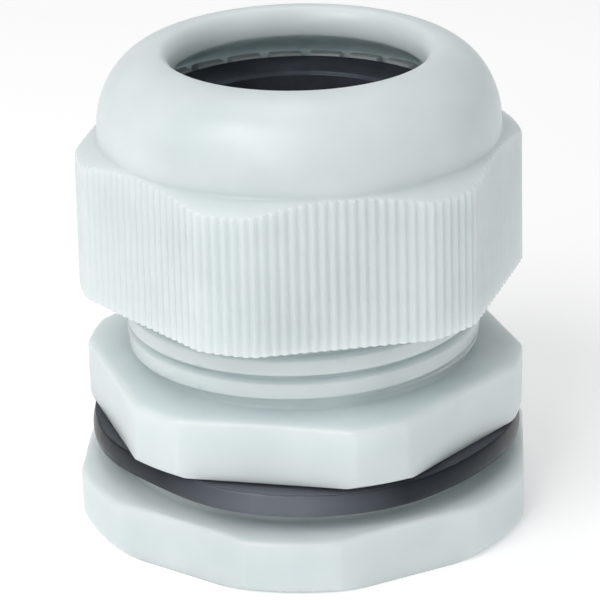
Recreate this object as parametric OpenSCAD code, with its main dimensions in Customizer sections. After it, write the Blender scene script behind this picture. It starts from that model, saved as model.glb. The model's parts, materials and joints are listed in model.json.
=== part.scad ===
// Nylon cable gland, size 29: a hexagon body with an entry thread, a ring of claws,
// a rubber sealing insert, a domed clamping nut, a sealing washer and a locknut.
// The gland stands on its locknut. Z = 0 is the locknut's underside, on the gland's axis.

/* [Entry thread] */
// Outside diameter of the entry thread
entry_thread_d = 37; // [36.8:0.1:37.2]
// Distance between two turns of the entry thread
entry_pitch = 1.5875; // [1.5:0.0125:1.6]
// Height of the entry thread's lower end above the locknut's underside
entry_end_z = 0.3; // [0.1:0.1:1]
// Radius of the bore through the entry thread
entry_bore_r = 13.5; // [13:0.1:14]

/* [Body] */
// Spanner size of the body's hexagon flange and of the dome nut
spanner_size = 42; // [41.6:0.1:42]
// Diameter across the turned corners of both hexagons
corner_d = 45.6; // [45:0.1:46]
// Height of the flange's lower face
flange_z = 10.6; // [10.6:0.1:10.8]
// Height of the flange's hexagon
flange_h = 6.4; // [6:0.1:6.4]
// Turn of the flange's hexagon about the axis
flange_turn = -11.1; // [-30:0.1:30]
// Outside diameter of the upper thread
upper_thread_d = 36.6; // [36.4:0.1:36.8]
// Distance between two turns of the upper thread
upper_pitch = 2.5; // [2.4:0.05:2.5]

/* [Claws] */
// Number of claws around the sealing insert
claw_count = 24; // [24:24]
// Radius of the inside of the claws
claw_inner_r = 16; // [15.9:0.05:16.1]
// Thickness of a claw
claw_t = 1.5; // [1.2:0.1:1.5]
// Part of each step between claws that the claw fills
claw_fill = 0.78; // [0.7:0.01:0.78]
// Height of the claws' tips
claw_tip_z = 43.1; // [42.7:0.1:43.1]
// Turn of the ring of claws about the axis
claw_turn = 4.6; // [0:0.1:15]

/* [Sealing insert] */
// Radius of the hole for the cable
cable_bore_r = 12.5; // [12:0.1:12.7]
// Gap between the insert and the claws
insert_gap = 0.2; // [0.1:0.05:0.3]
// Drop of the insert's top face from its rim to its hole
insert_dish = 0.85; // [0.5:0.05:1.2]

/* [Dome nut] */
// Height of the dome nut's lower face
nut_z = 24.9; // [24.6:0.1:25]
// Height of the top of the hexagon's corners
nut_corner_z = 39; // [38.4:0.1:39.2]
// Height of the dome's crest, the highest point of the gland
crest_z = 49; // [48.8:0.1:49.2]
// Radius of the crest
crest_r = 14.1; // [13.9:0.1:14.6]
// Radius of the cylindrical foot of the dome
dome_r = 20.5; // [20.4:0.05:20.6]
// Radius of the mouth that the cable passes
mouth_r = 12.8; // [12.8:0.05:13]
// Turn of the dome nut's hexagon about the axis
nut_turn = 10.5; // [-30:0.1:30]

/* [Washer and locknut] */
// Outside radius of the washer
washer_r = 22.5; // [22:0.1:22.6]
// Thickness of the washer
washer_t = 2.4; // [2:0.05:2.4]
// Lean of the washer, which lies loose between the flange and the locknut
washer_lean = 0.6; // [0:0.1:0.8]
// Spanner size of the locknut
locknut_af = 46; // [45.6:0.1:46.2]
// Diameter across the locknut's turned corners
locknut_corner_d = 48.5; // [48:0.1:49]
// Thickness of the locknut with its collar
locknut_t = 7.4; // [7:0.1:7.4]
// Height of the locknut's hexagon
locknut_hex_h = 5.95; // [5.5:0.05:6.2]
// Radius of the collar that the washer rests on
locknut_collar_r = 19.8; // [19.5:0.1:21]
// Turn of the locknut about the axis
locknut_turn = 25.9; // [0:0.1:60]

/* [Hidden] */
$fn = 96;
entry_r = entry_thread_d / 2;
entry_depth = 0.9;
upper_r = upper_thread_d / 2;
upper_depth = 1.1;
running_gap = 0.08;             // radial clearance between a thread and its nut
flange_top_z = flange_z + flange_h;
neck_h = 1.5;                   // plain neck under the upper thread
upper_start_z = flange_top_z + neck_h;
upper_turns = 4;
upper_end_z = upper_start_z + upper_turns * upper_pitch;
crown_top_z = 29.1;             // solid ring that the claws grow from
claw_outer_r = claw_inner_r + claw_t;
claw_root_z = crown_top_z + 0.2;
claw_chamfer = 0.4;
claw_step = 360 / claw_count;
claw_angle = claw_step * claw_fill;
seat_z = 26;                    // shoulder that the sealing insert stands on
insert_r = claw_inner_r - insert_gap;
insert_rim_z = claw_tip_z - 0.1;
insert_chamfer = 0.6;
nut_cone_drop = 3.21;           // height of the cone inside the dome that closes the claws
nut_land = 0.5;                 // narrow land at the lower edge of the mouth
mouth_z = 46.15;
nut_inner_r = 17.95;            // bore that clears the claws
nut_thread_top_z = 31.5;
dome_foot_z = 41.2;             // top of the dome's cylindrical foot
ledge_z = 40.4;                 // where the hexagon's chamfer meets the dome
arc_steps = 14;
flange_edge = 0.25;             // small chamfers at the lower corners
nut_edge = 0.2;
locknut_edge = 0.6;
locknut_bevel_r = 22.8;         // inner radius of the slight bevel on the locknut's upper corners
locknut_bevel_h = 0.45;
locknut_fillet = 0.4;           // between the locknut's collar and its hexagon
washer_inner_r = 19.2;
washer_shift = 0.1;             // sideways play taken up by the loose washer
washer_edge = 0.35;
washer_clear = 0.05;            // gap between the washer's lowest edge and the locknut

CLAWS = [for (i = [1 : claw_count]) str("claw_", i < 10 ? "0" : "", i)];

// Hexagonal prism that stands on z = 0, measured across its flats.
module hexagon(across_flats, height, turn) {
    rotate([0, 0, turn])
        cylinder(r = across_flats / 2 / cos(30), h = height, $fn = 6);
}

// Points on a quarter of an ellipse, from angle a to angle b.
function arc_points(centre, size, a, b) =
    [for (i = [0 : arc_steps])
        let (t = a + (b - a) * i / arc_steps)
        centre + [size[0] * cos(t), size[1] * sin(t)]];

// Outline of a thread's turns, from the bottom up: a root, a flank, a crest and a flank a turn.
function thread_points(crest_r, depth, pitch, start_z, turns) =
    [for (i = [0 : turns - 1], p = [[depth, 0], [0, 0.14], [0, 0.76], [depth, 0.9]])
        [crest_r - p[0], start_z + (i + p[1]) * pitch]];

// The turned part of the body: entry thread, upper thread and the crown below the claws.
module body_turning() {
    entry_turns = floor((flange_z - entry_end_z) / entry_pitch);
    rotate_extrude()
        polygon(concat(
            [[entry_bore_r, entry_end_z]],
            thread_points(entry_r, entry_depth, entry_pitch, entry_end_z, entry_turns),
            [[entry_r - entry_depth, flange_z + 1],
             [upper_r - upper_depth, flange_z + 1],
             [upper_r - upper_depth, upper_start_z]],
            thread_points(upper_r, upper_depth, upper_pitch, upper_start_z, upper_turns),
            [[upper_r - upper_depth, upper_end_z],
             [claw_outer_r - 0.35, upper_end_z + 0.3],
             [claw_outer_r - 0.35, crown_top_z],
             [claw_inner_r, crown_top_z],
             [claw_inner_r, seat_z],
             [entry_bore_r, seat_z]]));
}

// The flange: a hexagon whose corners are turned and whose upper corners are slightly bevelled.
module body_flange() {
    bevel_r = 20.8;
    bevel_drop = 0.3;
    difference() {
        intersection() {
            translate([0, 0, flange_z])
                hexagon(spanner_size, flange_h, flange_turn);
            rotate_extrude()
                polygon([[0, flange_z],
                         [corner_d / 2 - flange_edge, flange_z],
                         [corner_d / 2, flange_z + flange_edge],
                         [corner_d / 2, flange_top_z - bevel_drop],
                         [bevel_r, flange_top_z],
                         [0, flange_top_z]]);
        }
        translate([0, 0, flange_z - 1])
            cylinder(r = entry_bore_r + 1, h = flange_h + 2);
    }
}

module gland_body() {
    color("gainsboro")
        union() {
            body_turning();
            body_flange();
        }
}

// One claw of the crown. It bends inwards when the dome nut is tightened.
module claw(index) {
    middle = claw_turn + index * claw_step;
    color("gainsboro")
        rotate([0, 0, middle - claw_angle / 2])
            rotate_extrude(angle = claw_angle)
                polygon([[claw_inner_r, claw_root_z],
                         [claw_outer_r, claw_root_z],
                         [claw_outer_r, claw_tip_z - claw_chamfer],
                         [claw_outer_r - claw_chamfer, claw_tip_z],
                         [claw_inner_r, claw_tip_z]]);
}

// Rubber sleeve inside the claws, with a dished top face.
module sealing_insert() {
    color("dimgray")
        rotate_extrude()
            polygon([[cable_bore_r, seat_z + 0.1],
                     [insert_r - insert_chamfer, seat_z + 0.1],
                     [insert_r, seat_z + 0.1 + insert_chamfer],
                     [insert_r, insert_rim_z],
                     [cable_bore_r, insert_rim_z - insert_dish]]);
}

// Everything outside the dome nut that is turned: the dome and its mouth.
module dome_turning() {
    rotate_extrude()
        polygon(concat(
            [[mouth_r, nut_corner_z], [dome_r, nut_corner_z]],
            arc_points([crest_r, dome_foot_z], [dome_r - crest_r, crest_z - dome_foot_z], 0, 90),
            arc_points([crest_r, mouth_z + nut_land],
                       [crest_r - mouth_r, crest_z - mouth_z - nut_land], 90, 180),
            [[mouth_r, mouth_z]]));
}

module dome_nut() {
    color("gainsboro")
        difference() {
            union() {
                intersection() {
                    translate([0, 0, nut_z])
                        hexagon(spanner_size, ledge_z - nut_z, nut_turn);
                    rotate_extrude()
                        polygon([[0, nut_z],
                                 [corner_d / 2 - nut_edge, nut_z],
                                 [corner_d / 2, nut_z + nut_edge],
                                 [corner_d / 2, nut_corner_z],
                                 [dome_r, ledge_z],
                                 [0, ledge_z]]);
                }
                dome_turning();
            }
            rotate_extrude()
                polygon([[0, nut_z - 1],
                         [upper_r + running_gap, nut_z - 1],
                         [upper_r + running_gap, nut_thread_top_z],
                         [nut_inner_r, nut_thread_top_z + 0.5],
                         [nut_inner_r, mouth_z - nut_cone_drop],
                         [mouth_r, mouth_z],
                         [0, mouth_z]]);
        }
}

// Flat rubber ring that lies loose on the locknut, leaning against the flange.
module washer() {
    lift = washer_r * sin(washer_lean) + washer_t / 2 * cos(washer_lean);
    color("dimgray")
        translate([washer_shift, 0, locknut_t + washer_clear + lift])
            rotate([0, washer_lean, 0])
                rotate_extrude()
                    polygon([[washer_inner_r, -washer_t / 2],
                             [washer_r - washer_edge, -washer_t / 2],
                             [washer_r, washer_edge - washer_t / 2],
                             [washer_r, washer_t / 2 - washer_edge],
                             [washer_r - washer_edge, washer_t / 2],
                             [washer_inner_r, washer_t / 2]]);
}

// The locknut: a hexagon with turned corners and a round collar on top.
module locknut() {
    outer_r = locknut_corner_d / 2;
    color("gainsboro")
        difference() {
            union() {
                intersection() {
                    hexagon(locknut_af, locknut_hex_h, locknut_turn);
                    rotate_extrude()
                        polygon([[0, 0],
                                 [outer_r - locknut_edge, 0],
                                 [outer_r, locknut_edge],
                                 [outer_r, locknut_hex_h - locknut_bevel_h],
                                 [locknut_bevel_r, locknut_hex_h],
                                 [0, locknut_hex_h]]);
                }
                rotate_extrude()
                    polygon([[0, locknut_hex_h / 2],
                             [locknut_collar_r, locknut_hex_h / 2],
                             [locknut_collar_r + locknut_fillet, locknut_hex_h],
                             [locknut_collar_r, locknut_hex_h + locknut_fillet],
                             [locknut_collar_r, locknut_t],
                             [0, locknut_t]]);
            }
            translate([0, 0, -1])
                cylinder(r = entry_r + running_gap, h = locknut_t + 2);
        }
}

gland_body();
sealing_insert();
dome_nut();
washer();
locknut();
for (i = [0 : claw_count - 1])
    claw(i);
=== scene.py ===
"""Cable gland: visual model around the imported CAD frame.

Lengths in this file are in millimetres unless a name says otherwise, and are turned into
metres when a mesh is made. Angles are in degrees, anticlockwise from +X seen from above.
"""
import json
import math

import bmesh
import bpy
import numpy as np
from mathutils import Matrix, Vector


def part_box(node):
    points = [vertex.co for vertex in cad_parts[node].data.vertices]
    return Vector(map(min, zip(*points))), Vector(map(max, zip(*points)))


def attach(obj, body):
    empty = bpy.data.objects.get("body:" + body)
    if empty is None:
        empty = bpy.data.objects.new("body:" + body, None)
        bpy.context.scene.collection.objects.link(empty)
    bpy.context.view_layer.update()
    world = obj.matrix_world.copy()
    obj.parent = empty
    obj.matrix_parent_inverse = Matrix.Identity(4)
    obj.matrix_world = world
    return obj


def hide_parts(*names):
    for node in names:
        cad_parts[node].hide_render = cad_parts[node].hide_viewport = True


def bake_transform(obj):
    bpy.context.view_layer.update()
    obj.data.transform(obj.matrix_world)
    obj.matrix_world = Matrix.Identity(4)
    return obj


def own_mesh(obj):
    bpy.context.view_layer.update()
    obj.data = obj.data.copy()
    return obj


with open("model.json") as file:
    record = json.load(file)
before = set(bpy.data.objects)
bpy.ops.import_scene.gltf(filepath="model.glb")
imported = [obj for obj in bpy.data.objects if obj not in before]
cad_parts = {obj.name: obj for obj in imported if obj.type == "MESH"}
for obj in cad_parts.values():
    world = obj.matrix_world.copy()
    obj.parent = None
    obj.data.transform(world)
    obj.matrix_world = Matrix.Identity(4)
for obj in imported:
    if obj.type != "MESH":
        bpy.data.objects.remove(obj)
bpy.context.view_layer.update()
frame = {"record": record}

MM = 0.001


def heights(node):
    """Lowest and highest point of a CAD node."""
    low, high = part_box(node)
    return low.z / MM, high.z / MM


def mount(name):
    """One of the record's mounts, by name."""
    return next(m for m in frame["record"]["mounts"] if m["name"] == name)


# ---------------------------------------------------------------- driving dimensions

HEX_FLATS = 42.0            # across the flats of the dome nut and of the body's flange
HEX_CORNER_R = 22.8         # radius of their turned corners
LOCKNUT_FLATS = 46.0
LOCKNUT_CORNER_R = 24.25
FLANGE_TURN = -11.1
NUT_TURN = 10.5
LOCKNUT_TURN = 25.9

ENTRY_R = 18.5
ENTRY_DEPTH = 0.9
ENTRY_PITCH = 1.5875
UPPER_R = 18.3
UPPER_DEPTH = 1.1
UPPER_PITCH = 2.5
ENTRY_BORE_R = 13.5
SEAT_Z = 26.0               # shoulder that the insert stands on

CLAW_INNER_R = 16.0
CLAW_OUTER_R = 17.5
CLAW_COUNT = 24
CLAW_FIRST = 4.6            # direction of the middle of the first claw
CLAW_ANGLE = 11.7
CLAW_CHAMFER = 0.4          # on the outer edge of the tip, where the dome's cone presses

BORE_R = mount("cable_bore")["dims"]["r_mm"]
FLANGE_Z = mount("panel_seat")["pos_m"][2] / MM
FLANGE_H = 6.4
FLANGE_TOP = FLANGE_Z + FLANGE_H
BODY_LOW, BODY_TOP = heights("gland_body")
NUT_LOW, NUT_TOP = heights("dome_nut")
INSERT_LOW, INSERT_TOP = heights("sealing_insert")
CLAW_LOW, CLAW_TOP = heights("claw_01")
LOCKNUT_LOW, LOCKNUT_TOP = heights("locknut")

# ---------------------------------------------------------------- outlines seen from above


def smooth_min(a, b, width):
    """The smaller of a and b, with the crease between them rounded over width."""
    h = np.clip(0.5 + 0.5 * (b - a) / width, 0, 1)
    return b * (1 - h) + a * h - width * h * (1 - h)


def hexagon_radius(angles, flats, corner_r, turn, soften=0.12):
    """Radius of a hexagon with turned corners in each direction."""
    from_flat = (angles - turn) % 60 - 30
    return smooth_min(flats / 2 / np.cos(np.radians(from_flat)), corner_r, soften)


def hexagon_columns(flats, corner_r, turn):
    """Directions for a hexagon's columns, closer together where a flat meets a corner."""
    crease = math.degrees(math.acos(flats / 2 / corner_r))
    near = np.array([-2.0, -1.2, -0.6, -0.2, 0.2, 0.6, 1.2, 2.0])
    sector = np.concatenate([np.arange(-30, 30, 3.0), crease + near, -crease + near])
    sector = np.unique(np.round(sector, 4))
    return np.sort(np.concatenate([(30 + turn + 60 * k + sector) % 360 for k in range(6)]))


def perimeter_columns(flats, corner_r, turn, count):
    """Directions of count points at equal distances along the hexagon's outline."""
    fine = np.linspace(0, 360, 7201)
    radius = hexagon_radius(fine, flats, corner_r, turn)
    x, y = radius * np.cos(np.radians(fine)), radius * np.sin(np.radians(fine))
    walked = np.concatenate([[0], np.cumsum(np.hypot(np.diff(x), np.diff(y)))])
    return np.interp(np.arange(count) / count * walked[-1], walked, fine)


# ---------------------------------------------------------------- turned and threaded shells


def rounded(corners, steps=4):
    """Profile rows through corners (r, z, rounding), each r and z a number or one per column.
    A corner with a rounding becomes a short curve of steps + 1 rows."""
    size = max(np.size(value) for corner in corners for value in corner[:2])
    points = [np.array([np.broadcast_to(r, size), np.broadcast_to(z, size)], float)
              for r, z, _ in corners]
    rows = []
    for i, (_, _, rounding) in enumerate(corners):
        here = points[i]
        if not rounding or i in (0, len(corners) - 1):
            rows.append(here)
            continue
        before, after = points[i - 1] - here, points[i + 1] - here
        before_len, after_len = np.hypot(*before), np.hypot(*after)
        reach = np.minimum(rounding, 0.45 * np.minimum(before_len, after_len))
        start = here + before / np.maximum(before_len, 1e-9) * reach
        end = here + after / np.maximum(after_len, 1e-9) * reach
        for t in np.linspace(0, 1, steps + 1):
            rows.append((1 - t) ** 2 * start + 2 * t * (1 - t) * here + t * t * end)
    return rows


def quarter(centre, size, start, end, steps):
    """Corners on part of an ellipse, for rounded()."""
    return [(centre[0] + size[0] * math.cos(math.radians(a)),
             centre[1] + size[1] * math.sin(math.radians(a)), 0)
            for a in np.linspace(start, end, steps + 1)]


class Shell:
    """A closed mesh made of strips that go all the way round the Z axis."""

    def __init__(self, columns):
        self.columns = np.asarray(columns, float)
        self.count = len(self.columns)
        self.points = []
        self.faces = []

    def _add_row(self, r, z):
        angle = np.radians(self.columns)
        r, z = np.broadcast_to(r, self.count), np.broadcast_to(z, self.count)
        first = len(self.points)
        self.points.extend(zip(r * np.cos(angle) * MM, r * np.sin(angle) * MM, z * MM))
        return first

    def strip(self, rows):
        """Joins each row to the next with quads."""
        firsts = [self._add_row(r, z) for r, z in rows]
        for low, high in zip(firsts, firsts[1:]):
            for j in range(self.count):
                k = (j + 1) % self.count
                self.faces.append((low + j, low + k, high + k, high + j))

    def thread(self, root_r, height, pitch, phase_z, start_z, end_z, fade=0.4):
        """A helical strip from start_z to end_z. Each turn follows STATIONS, and the thread
        fades into the root at both ends. phase_z is where a turn starts at the first column,
        at or below start_z. A negative height makes an inside thread."""
        along = (self.columns - self.columns[0]) / 360
        per_turn = len(STATIONS)
        turns = math.ceil((end_z - phase_z) / pitch) + 2
        firsts = []
        for turn in range(-1, turns):
            for part, rise in STATIONS:
                z = np.clip(phase_z + pitch * (turn + part + along), start_z, end_z)
                inside = np.clip(np.minimum(z - start_z, end_z - z) / (fade * pitch), 0, 1)
                firsts.append(self._add_row(root_r + height * rise * inside, z))
        last = len(firsts) - 1
        for i in range(last):
            for j in range(self.count - 1):
                a, b = firsts[i] + j, firsts[i + 1] + j
                self.faces.append((a, a + 1, b + 1, b))
            a, b = firsts[i] + self.count - 1, firsts[i + 1] + self.count - 1
            c = firsts[min(i + per_turn, last)]
            d = firsts[min(i + 1 + per_turn, last)]
            self.faces.append((a, c, d, b))

    def build(self, name):
        """The welded mesh as a new object."""
        mesh = bpy.data.meshes.new(name)
        bm = bmesh.new()
        points = [bm.verts.new(p) for p in self.points]
        for face in self.faces:
            if len(set(face)) == len(face):
                bm.faces.new([points[i] for i in face])
        bmesh.ops.remove_doubles(bm, verts=bm.verts, dist=2e-7)
        bmesh.ops.dissolve_degenerate(bm, edges=bm.edges, dist=1e-7)
        bmesh.ops.recalc_face_normals(bm, faces=bm.faces)
        bm.to_mesh(mesh)
        bm.free()
        return new_object(name, mesh)


# one turn of a thread: place along the pitch, height as a share of the whole
STATIONS = [(0.0, 0.0), (0.06, 0.0), (0.085, 0.12), (0.115, 0.7), (0.14, 0.93), (0.18, 1.0),
            (0.71, 1.0), (0.75, 0.93), (0.775, 0.7), (0.81, 0.12), (0.84, 0.0)]


def new_object(name, mesh):
    """A smooth-shaded object in the scene."""
    obj = bpy.data.objects.new(name, mesh)
    bpy.context.scene.collection.objects.link(obj)
    mesh.shade_smooth()
    return obj


def finish_piece(obj, body, node, material):
    """Material, shading, body and CAD node of a finished piece. A piece with no body is left
    unattached here."""
    obj.data.materials.append(material)
    modifier = obj.modifiers.new("even shading", "WEIGHTED_NORMAL")
    modifier.weight = 60
    modifier.keep_sharp = True
    if body is not None:
        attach(obj, body)
    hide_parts(node)
    return obj


# ---------------------------------------------------------------- materials


def new_material(name):
    """A new material, its node tree and its Principled shader."""
    material = bpy.data.materials.new(name)
    material.use_nodes = True
    tree = material.node_tree
    return material, tree, tree.nodes["Principled BSDF"]


def noise(tree, scale, detail=2.0, roughness=0.5):
    """Noise fixed to the object, with scale waves to the metre."""
    coords = tree.nodes.new("ShaderNodeTexCoord")
    node = tree.nodes.new("ShaderNodeTexNoise")
    node.inputs["Scale"].default_value = scale
    node.inputs["Detail"].default_value = detail
    node.inputs["Roughness"].default_value = roughness
    tree.links.new(coords.outputs["Object"], node.inputs["Vector"])
    return node.outputs["Fac"]


def ramp(tree, value, stops):
    """Colour ramp with (place, colour) stops."""
    node = tree.nodes.new("ShaderNodeValToRGB")
    tree.links.new(value, node.inputs["Fac"])
    elements = node.color_ramp.elements
    while len(elements) < len(stops):
        elements.new(0.5)
    for element, (place, colour) in zip(elements, stops):
        element.position = place
        element.color = (*colour, 1.0)
    return node.outputs["Color"]


def bump(tree, shader, layers):
    """Bumps from several (height, strength, distance) layers, one on another."""
    normal = None
    for height, strength, distance in layers:
        node = tree.nodes.new("ShaderNodeBump")
        node.inputs["Strength"].default_value = strength
        node.inputs["Distance"].default_value = distance
        tree.links.new(height, node.inputs["Height"])
        if normal is not None:
            tree.links.new(normal, node.inputs["Normal"])
        normal = node.outputs["Normal"]
    tree.links.new(normal, shader.inputs["Normal"])


def grey(value):
    return (value, value, value)


def make_nylon(name):
    """Pale grey moulded nylon: satin, slightly uneven in colour and gloss."""
    material, tree, shader = new_material(name)
    dark, light = (0.60, 0.668, 0.675), (0.68, 0.748, 0.755)
    tree.links.new(ramp(tree, noise(tree, 90, 3), [(0.3, dark), (0.7, light)]),
                   shader.inputs["Base Color"])
    tree.links.new(ramp(tree, noise(tree, 400, 4), [(0.3, grey(0.30)), (0.7, grey(0.37))]),
                   shader.inputs["Roughness"])
    bump(tree, shader, [(noise(tree, 200, 1), 0.05, 0.0002)])
    shader.inputs["IOR"].default_value = 1.52
    shader.inputs["Subsurface Weight"].default_value = 0.8
    shader.inputs["Subsurface Radius"].default_value = (0.005, 0.005, 0.005)
    shader.inputs["Subsurface Scale"].default_value = 1.0     # the radius is in metres
    return material


def make_rubber(name, dark, light, top_light_gain=1.0, painted_sheen_at=None):
    """Black rubber with a faint bluish bloom and a soft sheen. Its up-facing faces are painted
    paler than its sides and underside by the given factor, painted light standing in for the light
    from above. Round the given point, in metres, a paler painted sheen is mixed into its colour."""
    material, tree, shader = new_material(name)
    bloom = ramp(tree, noise(tree, 260, 5, 0.65), [(0.35, (dark, dark * 1.1, dark * 1.35)),
                                                   (0.8, (light, light * 1.1, light * 1.35))])
    coords = tree.nodes.new("ShaderNodeTexCoord")
    parts = tree.nodes.new("ShaderNodeSeparateXYZ")
    tree.links.new(coords.outputs["Normal"], parts.inputs["Vector"])
    # painted light: faces that point up keep the full colour, and all others are darkened by the
    # given factor, in place of the light falling from above
    flat = ramp(tree, parts.outputs["Z"], [(0.8, grey(1.0 / top_light_gain)), (0.97, grey(1.0))])
    mix = tree.nodes.new("ShaderNodeMix")
    mix.data_type, mix.blend_type = "RGBA", "MULTIPLY"
    mix.inputs["Factor"].default_value = 1.0
    tree.links.new(bloom, mix.inputs["A"])
    tree.links.new(flat, mix.inputs["B"])
    colour = mix.outputs["Result"]
    if painted_sheen_at is not None:
        # painted sheen: a paler spot round the given point stands in for the highlight of the light
        # on the washer's side
        sheen_size, painted_sheen_colour = 0.013, (0.13, 0.14, 0.16, 1.0)
        place = tree.nodes.new("ShaderNodeMapping")
        place.inputs["Location"].default_value = [-value / sheen_size for value in painted_sheen_at]
        place.inputs["Scale"].default_value = [1 / sheen_size] * 3
        tree.links.new(coords.outputs["Object"], place.inputs["Vector"])
        ball = tree.nodes.new("ShaderNodeTexGradient")
        ball.gradient_type = "SPHERICAL"
        tree.links.new(place.outputs["Vector"], ball.inputs["Vector"])
        pale = tree.nodes.new("ShaderNodeMix")
        pale.data_type = "RGBA"
        tree.links.new(ramp(tree, ball.outputs["Fac"], [(0.0, grey(0.0)), (0.8, grey(1.0))]),
                       pale.inputs["Factor"])
        tree.links.new(colour, pale.inputs["A"])
        pale.inputs["B"].default_value = painted_sheen_colour
        colour = pale.outputs["Result"]
    tree.links.new(colour, shader.inputs["Base Color"])
    tree.links.new(ramp(tree, noise(tree, 500, 4), [(0.3, grey(0.28)), (0.75, grey(0.40))]),
                   shader.inputs["Roughness"])
    bump(tree, shader, [(noise(tree, 300, 2), 0.15, 0.0003), (noise(tree, 3000, 3), 0.2, 0.00006)])
    shader.inputs["IOR"].default_value = 1.38
    shader.inputs["Specular Tint"].default_value = (0.7, 0.85, 1.0, 1.0)
    return material


# ---------------------------------------------------------------- pieces


def make_dome_nut(material):
    """Domed nut: a hexagon with fine upright flutes, a bevelled ledge and a rolled mouth."""
    flutes, per_flute, flute_depth = 144, 6, 0.28
    columns = perimeter_columns(HEX_FLATS, HEX_CORNER_R, NUT_TURN, flutes * per_flute)
    wave = 0.5 - 0.5 * np.cos(2 * np.pi * np.arange(len(columns)) / per_flute)
    wall = (hexagon_radius(columns, HEX_FLATS, HEX_CORNER_R, NUT_TURN, 0.3)
            - flute_depth * (1 - wave ** 0.7))
    dome_r, crest_r, mouth_r = 20.5, 14.1, 12.8
    ledge_z, corner_z, foot_z = 40.4, 39.0, 41.2        # the dome's curve starts at foot_z
    cone_z, inner_r, thread_top, bore_r = 42.94, 17.95, 31.5, UPPER_R + 0.1
    mouth_z, land = 46.15, 0.5
    slope = (ledge_z - corner_z) / (HEX_CORNER_R - dome_r)
    wall_top = ledge_z - (wall - dome_r) * slope
    draft, chamfer, chamfer_h = 0.2, 0.4, 1.2
    outside = [
        (bore_r, NUT_LOW + chamfer_h, 0),
        (bore_r + chamfer, NUT_LOW, 0.15),
        (wall + draft, NUT_LOW, 0.16),
        (wall, wall_top, 0.22),
        (dome_r, ledge_z, 0.35),
    ]
    outside += quarter((crest_r, foot_z), (dome_r - crest_r, NUT_TOP - foot_z), 0, 90, 18)
    outside += quarter((crest_r, mouth_z + land), (crest_r - mouth_r, NUT_TOP - mouth_z - land),
                       96, 180, 14)
    outside += [
        (mouth_r, mouth_z, 0.15),
        (inner_r, cone_z, 0.3),
        (inner_r, thread_top + 0.5, 0.2),
        (bore_r, thread_top, 0),
        (bore_r, NUT_LOW + chamfer_h, 0),
    ]
    shell = Shell(columns)
    shell.strip(rounded(outside))
    return finish_piece(shell.build("dome_nut_visual"), "dome_nut", "dome_nut", material)


def make_gland_body(material):
    """Body: entry thread, hexagon flange, upper thread, crown and stepped bore."""
    columns = hexagon_columns(HEX_FLATS, HEX_CORNER_R, FLANGE_TURN)
    wall = hexagon_radius(columns, HEX_FLATS, HEX_CORNER_R, FLANGE_TURN)
    entry_root, upper_root = ENTRY_R - ENTRY_DEPTH, UPPER_R - UPPER_DEPTH
    entry_start, entry_stop = BODY_LOW + 0.5, FLANGE_Z - 0.5
    upper_start, upper_stop = FLANGE_TOP + 0.8, BODY_TOP - 0.8
    upper_phase = upper_start - 1.425
    bevel_r, bevel_drop = 20.8, 0.15
    slope = bevel_drop / (HEX_CORNER_R - bevel_r)
    wall_top = FLANGE_TOP - (wall - bevel_r) * slope
    low_bevel_r = HEX_CORNER_R - 0.25
    wall_low = FLANGE_Z + np.clip(wall - low_bevel_r, 0, None)
    shell = Shell(columns)
    shell.strip(rounded([
        (ENTRY_BORE_R, SEAT_Z, 0),
        (ENTRY_BORE_R, BODY_LOW, 0.4),
        (entry_root - 0.5, BODY_LOW, 0.2),
        (entry_root, entry_start, 0)]))
    shell.thread(entry_root, ENTRY_DEPTH, ENTRY_PITCH, entry_start - 0.3, entry_start, entry_stop)
    shell.strip(rounded([
        (entry_root, entry_stop, 0),
        (entry_root, FLANGE_Z, 0.2),
        (np.minimum(wall, low_bevel_r), FLANGE_Z, 0.25),
        (wall, wall_low + 0.05, 0.25),
        (wall, wall_top, 0.75),
        (bevel_r - 1.0, FLANGE_TOP, 0.3),
        (upper_root + 0.1, FLANGE_TOP, 0.4),
        (upper_root, upper_start, 0)]))
    shell.thread(upper_root, UPPER_DEPTH, UPPER_PITCH, upper_phase, upper_start, upper_stop, 0.15)
    shell.strip(rounded([
        (upper_root, upper_stop, 0),
        (upper_root, BODY_TOP, 0.15),
        (CLAW_INNER_R, BODY_TOP, 0.1),
        (CLAW_INNER_R, SEAT_Z, 0.2),
        (ENTRY_BORE_R, SEAT_Z, 0)]))
    return finish_piece(shell.build("gland_body_visual"), "gland_body", "gland_body",
                        material)


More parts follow.
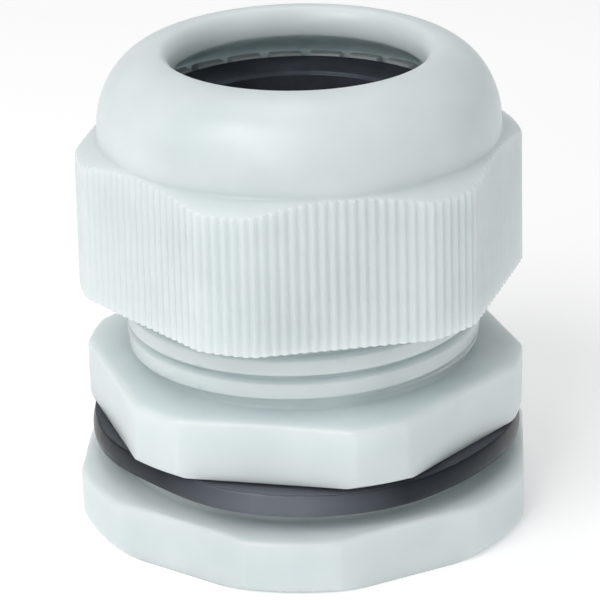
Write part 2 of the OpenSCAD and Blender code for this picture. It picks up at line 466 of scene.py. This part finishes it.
def make_claw(index, material):
    """One claw, rooted in the crown, with rounded edges."""
    node = f"claw_{index + 1:02d}"
    middle = CLAW_FIRST + index * 360 / CLAW_COUNT
    half = CLAW_ANGLE / 2
    root_z, neck, neck_h = BODY_TOP - 0.6, 0.3, 0.5     # the root is thinner, to bend there
    bm = bmesh.new()
    levels = np.concatenate([[root_z, BODY_TOP, CLAW_LOW], np.linspace(30, 42, 11),
                             [CLAW_TOP - CLAW_CHAMFER, CLAW_TOP]])
    rings = []
    for z in levels:
        ring = []
        outer = CLAW_OUTER_R
        if z < CLAW_LOW + neck_h:
            outer -= neck
        elif z == CLAW_TOP:
            outer -= CLAW_CHAMFER
        for r, angles in ((CLAW_INNER_R, np.linspace(-half, half, 5)),
                          (outer, np.linspace(half, -half, 5))):
            for a in angles:
                direction = math.radians(middle + a)
                ring.append(bm.verts.new((r * math.cos(direction) * MM,
                                          r * math.sin(direction) * MM, z * MM)))
        rings.append(ring)
    size = len(rings[0])
    for low, high in zip(rings, rings[1:]):
        for j in range(size):
            k = (j + 1) % size
            bm.faces.new((low[j], low[k], high[k], high[j]))
    bm.faces.new(rings[0][::-1])
    bm.faces.new(rings[-1])
    bmesh.ops.recalc_face_normals(bm, faces=bm.faces)
    mesh = bpy.data.meshes.new(node + "_visual")
    bm.to_mesh(mesh)
    bm.free()
    claw = new_object(node + "_visual", mesh)
    bevel = claw.modifiers.new("rounded edges", "BEVEL")
    bevel.width = 0.16 * MM
    bevel.segments = 3
    bevel.limit_method = "ANGLE"
    bevel.angle_limit = math.radians(50)
    apply_modifiers(claw)
    claw.data.shade_smooth()
    finish_piece(claw, None, node, material)
    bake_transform(claw)
    return claw


def apply_modifiers(obj):
    """Turns the object's modifiers into mesh."""
    bpy.context.view_layer.update()
    evaluated = obj.evaluated_get(bpy.context.evaluated_depsgraph_get())
    mesh = bpy.data.meshes.new_from_object(evaluated)
    obj.modifiers.clear()
    obj.data = mesh


def make_insert(material):
    """Sealing insert: a sleeve with a dished top and a lip round its hole."""
    columns = np.arange(0, 360, 2.5)
    outer_r = CLAW_INNER_R - 0.2
    lip_z = INSERT_TOP - 0.85
    seam_z = 34.0               # where the profile starts and ends
    shell = Shell(columns)
    shell.strip(rounded([
        (BORE_R, seam_z, 0),
        (BORE_R, INSERT_LOW, 0.5),
        (outer_r - 0.6, INSERT_LOW, 0.2),
        (outer_r, INSERT_LOW + 0.6, 0.2),
        (outer_r, INSERT_TOP, 0.2),
        (BORE_R + 0.3, lip_z + 0.09, 0.12),
        (BORE_R + 0.2, lip_z - 0.05, 0.06),
        (BORE_R, lip_z - 0.25, 0.1),
        (BORE_R, seam_z, 0)]))
    insert = finish_piece(shell.build("sealing_insert_visual"), "sealing_insert",
                          "sealing_insert", material)
    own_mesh(insert)
    return insert


def make_washer(material):
    """Flat rubber washer with a bulging side and a ragged upper edge, loose and slightly warped."""
    radius, inner_r, thick, lean, shift = 22.5, 19.2, 2.4, 0.6, 0.1
    half, bulge, notch = thick / 2, 0.3, 0.13
    columns = np.arange(0, 360, 0.75)
    ragged = 0.035 * np.sin(np.radians(columns * 44)) * np.sin(np.radians(columns * 17 + 40))
    shell = Shell(columns)
    shell.strip(rounded([
        (inner_r, 0, 0),
        (inner_r, -half, 0.3),
        (radius - 0.12, -half, 0.15),
        (radius, -0.45 * half, 0.4),
        (radius - 0.2 * bulge, 0.1 * half, 0.3),
        (radius - 0.55 * bulge, 0.45 * half, 0.3),
        (radius - bulge, half - 0.3, 0.1),
        (radius - bulge - notch, half - 0.16 + ragged, 0.03),
        (radius - bulge + 0.04, half - 0.02 + ragged, 0.03),
        (radius - bulge - notch - 0.1, half, 0.05),
        (inner_r, half, 0.3),
        (inner_r, 0, 0)]))
    washer = shell.build("washer_visual")
    for vertex in washer.data.vertices:         # it rises at the right and left of the front
        side = math.degrees(math.atan2(vertex.co.x, -vertex.co.y))
        right = math.exp(-((side - 54) / 24) ** 2)
        left = math.exp(-((side + 46) / 17) ** 2)
        vertex.co.z += (0.6 * right + 0.3 * left) * MM
        vertex.co.xy *= 1 - 0.02 * left
    low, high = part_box("washer")
    middle = Vector((shift * MM, 0, (low.z + high.z) / 2))
    washer.data.transform(Matrix.Translation(middle) @ Matrix.Rotation(math.radians(lean), 4, "Y"))
    return finish_piece(washer, "washer", "washer", material)


def make_locknut(material):
    """Locknut: a low hexagon with turned corners, a round collar on top and a plain bore."""
    columns = hexagon_columns(LOCKNUT_FLATS, LOCKNUT_CORNER_R, LOCKNUT_TURN)
    wall = hexagon_radius(columns, LOCKNUT_FLATS, LOCKNUT_CORNER_R, LOCKNUT_TURN)
    hex_top, collar_r, bevel_r, bevel_h = 5.95, 19.8, 22.8, 0.35
    wall_top = hex_top - (wall - bevel_r) * bevel_h / (LOCKNUT_CORNER_R - bevel_r)
    low_bevel_r = LOCKNUT_CORNER_R - 0.6
    wall_low = LOCKNUT_LOW + np.clip(wall - low_bevel_r, 0, None)
    thread_r, chamfer_h = ENTRY_R + 0.08, 0.6
    shell = Shell(columns)
    shell.strip(rounded([
        (thread_r, LOCKNUT_LOW + chamfer_h, 0),
        (thread_r + 0.5, LOCKNUT_LOW, 0.15),
        (np.minimum(wall, low_bevel_r), LOCKNUT_LOW, 0.3),
        (wall, wall_low + 0.05, 0.3),
        (wall, wall_top, 0.6),
        (bevel_r - 0.6, hex_top, 0.3),
        (collar_r, hex_top, 0.45),
        (collar_r, LOCKNUT_TOP, 0.3),
        (thread_r + 0.4, LOCKNUT_TOP, 0.15),
        (thread_r, LOCKNUT_TOP - 0.5, 0),
        (thread_r, LOCKNUT_LOW + chamfer_h, 0)], steps=5))
    return finish_piece(shell.build("locknut_visual"), "locknut", "locknut", material)


# ---------------------------------------------------------------- stage, light and camera


def make_stage():
    """Plain pale floor, a hair below the gland so that their faces don't meet."""
    mesh = bpy.data.meshes.new("floor")
    half = 3.0                                  # metres
    mesh.from_pydata([(-half, -half, 0), (half, -half, 0), (half, half, 0), (-half, half, 0)], [],
                     [(0, 1, 2, 3)])
    floor = bpy.data.objects.new("floor", mesh)
    bpy.context.scene.collection.objects.link(floor)
    floor.location.z = -0.00002
    material, tree, shader = new_material("pale floor")
    shader.inputs["Base Color"].default_value = (0.95, 0.95, 0.95, 1)
    shader.inputs["Emission Color"].default_value = (1, 1, 1, 1)
    shader.inputs["Emission Strength"].default_value = 0.2
    shader.inputs["Roughness"].default_value = 0.9
    shader.inputs["Specular IOR Level"].default_value = 0.1
    mesh.materials.append(material)


def make_light(name, place, target, size, watts, colour=(1, 1, 1)):
    """Rectangular light at place, turned towards target. These are in metres."""
    data = bpy.data.lights.new(name, "AREA")
    data.shape = "RECTANGLE"
    data.size, data.size_y = size
    data.energy = watts
    data.color = colour
    light = bpy.data.objects.new(name, data)
    bpy.context.scene.collection.objects.link(light)
    light.location = place
    direction = Vector(target) - Vector(place)
    light.rotation_euler = direction.to_track_quat("-Z", "Y").to_euler()


def make_lights():
    """Soft studio light: an even white surround, and large lights from the left front and above."""
    world = bpy.data.worlds.new("studio")
    bpy.context.scene.world = world
    world.use_nodes = True
    background = world.node_tree.nodes["Background"]
    background.inputs["Color"].default_value = (1, 1, 1, 1)
    background.inputs["Strength"].default_value = 0.52
    middle = (0, 0, 0.025)
    make_light("key", (-0.26, -0.30, 0.44), middle, (0.34, 0.28), 1.25)
    make_light("front", (-0.17, -0.46, 0.25), middle, (0.16, 0.12), 0.27)
    make_light("top", (-0.05, 0.05, 0.50), middle, (0.25, 0.25), 0.3)
    make_light("fill", (0.40, -0.25, 0.12), middle, (0.2, 0.3), 0.035, (0.6, 0.78, 1.0))


def make_camera():
    """The camera stands in front, a little above the gland."""
    distance, elevation, aim_z, roll = 0.2768, math.radians(22.32), 0.025, math.radians(-1.26)
    data = bpy.data.cameras.new("camera")
    data.sensor_width = 36.0
    data.lens = 160.5
    data.shift_x, data.shift_y = -0.004, -0.0533
    data.clip_start, data.clip_end = 0.01, 10
    camera = bpy.data.objects.new("camera", data)
    bpy.context.scene.collection.objects.link(camera)
    camera.location = (0, -distance * math.cos(elevation), aim_z + distance * math.sin(elevation))
    direction = Vector((0, 0, aim_z)) - camera.location
    camera.rotation_euler = (direction.to_track_quat("-Z", "Y").to_matrix()
                             @ Matrix.Rotation(roll, 3, "Z")).to_euler()
    bpy.context.scene.camera = camera


def main():
    bpy.context.scene.view_settings.view_transform = "Standard"
    make_camera()
    make_stage()
    make_lights()
    nylon = make_nylon("nylon")
    make_gland_body(nylon)
    make_dome_nut(nylon)
    make_locknut(nylon)
    for index in range(CLAW_COUNT):
        make_claw(index, nylon)
    make_insert(make_rubber("insert rubber", 0.026, 0.055))
    # this rubber's colour holds painted light: paler up-facing faces, and a painted sheen at the
    # front left
    make_washer(make_rubber("washer rubber", 0.035, 0.06, top_light_gain=4.0,
                            painted_sheen_at=(-0.003, -0.0223, 0.009)))


main()
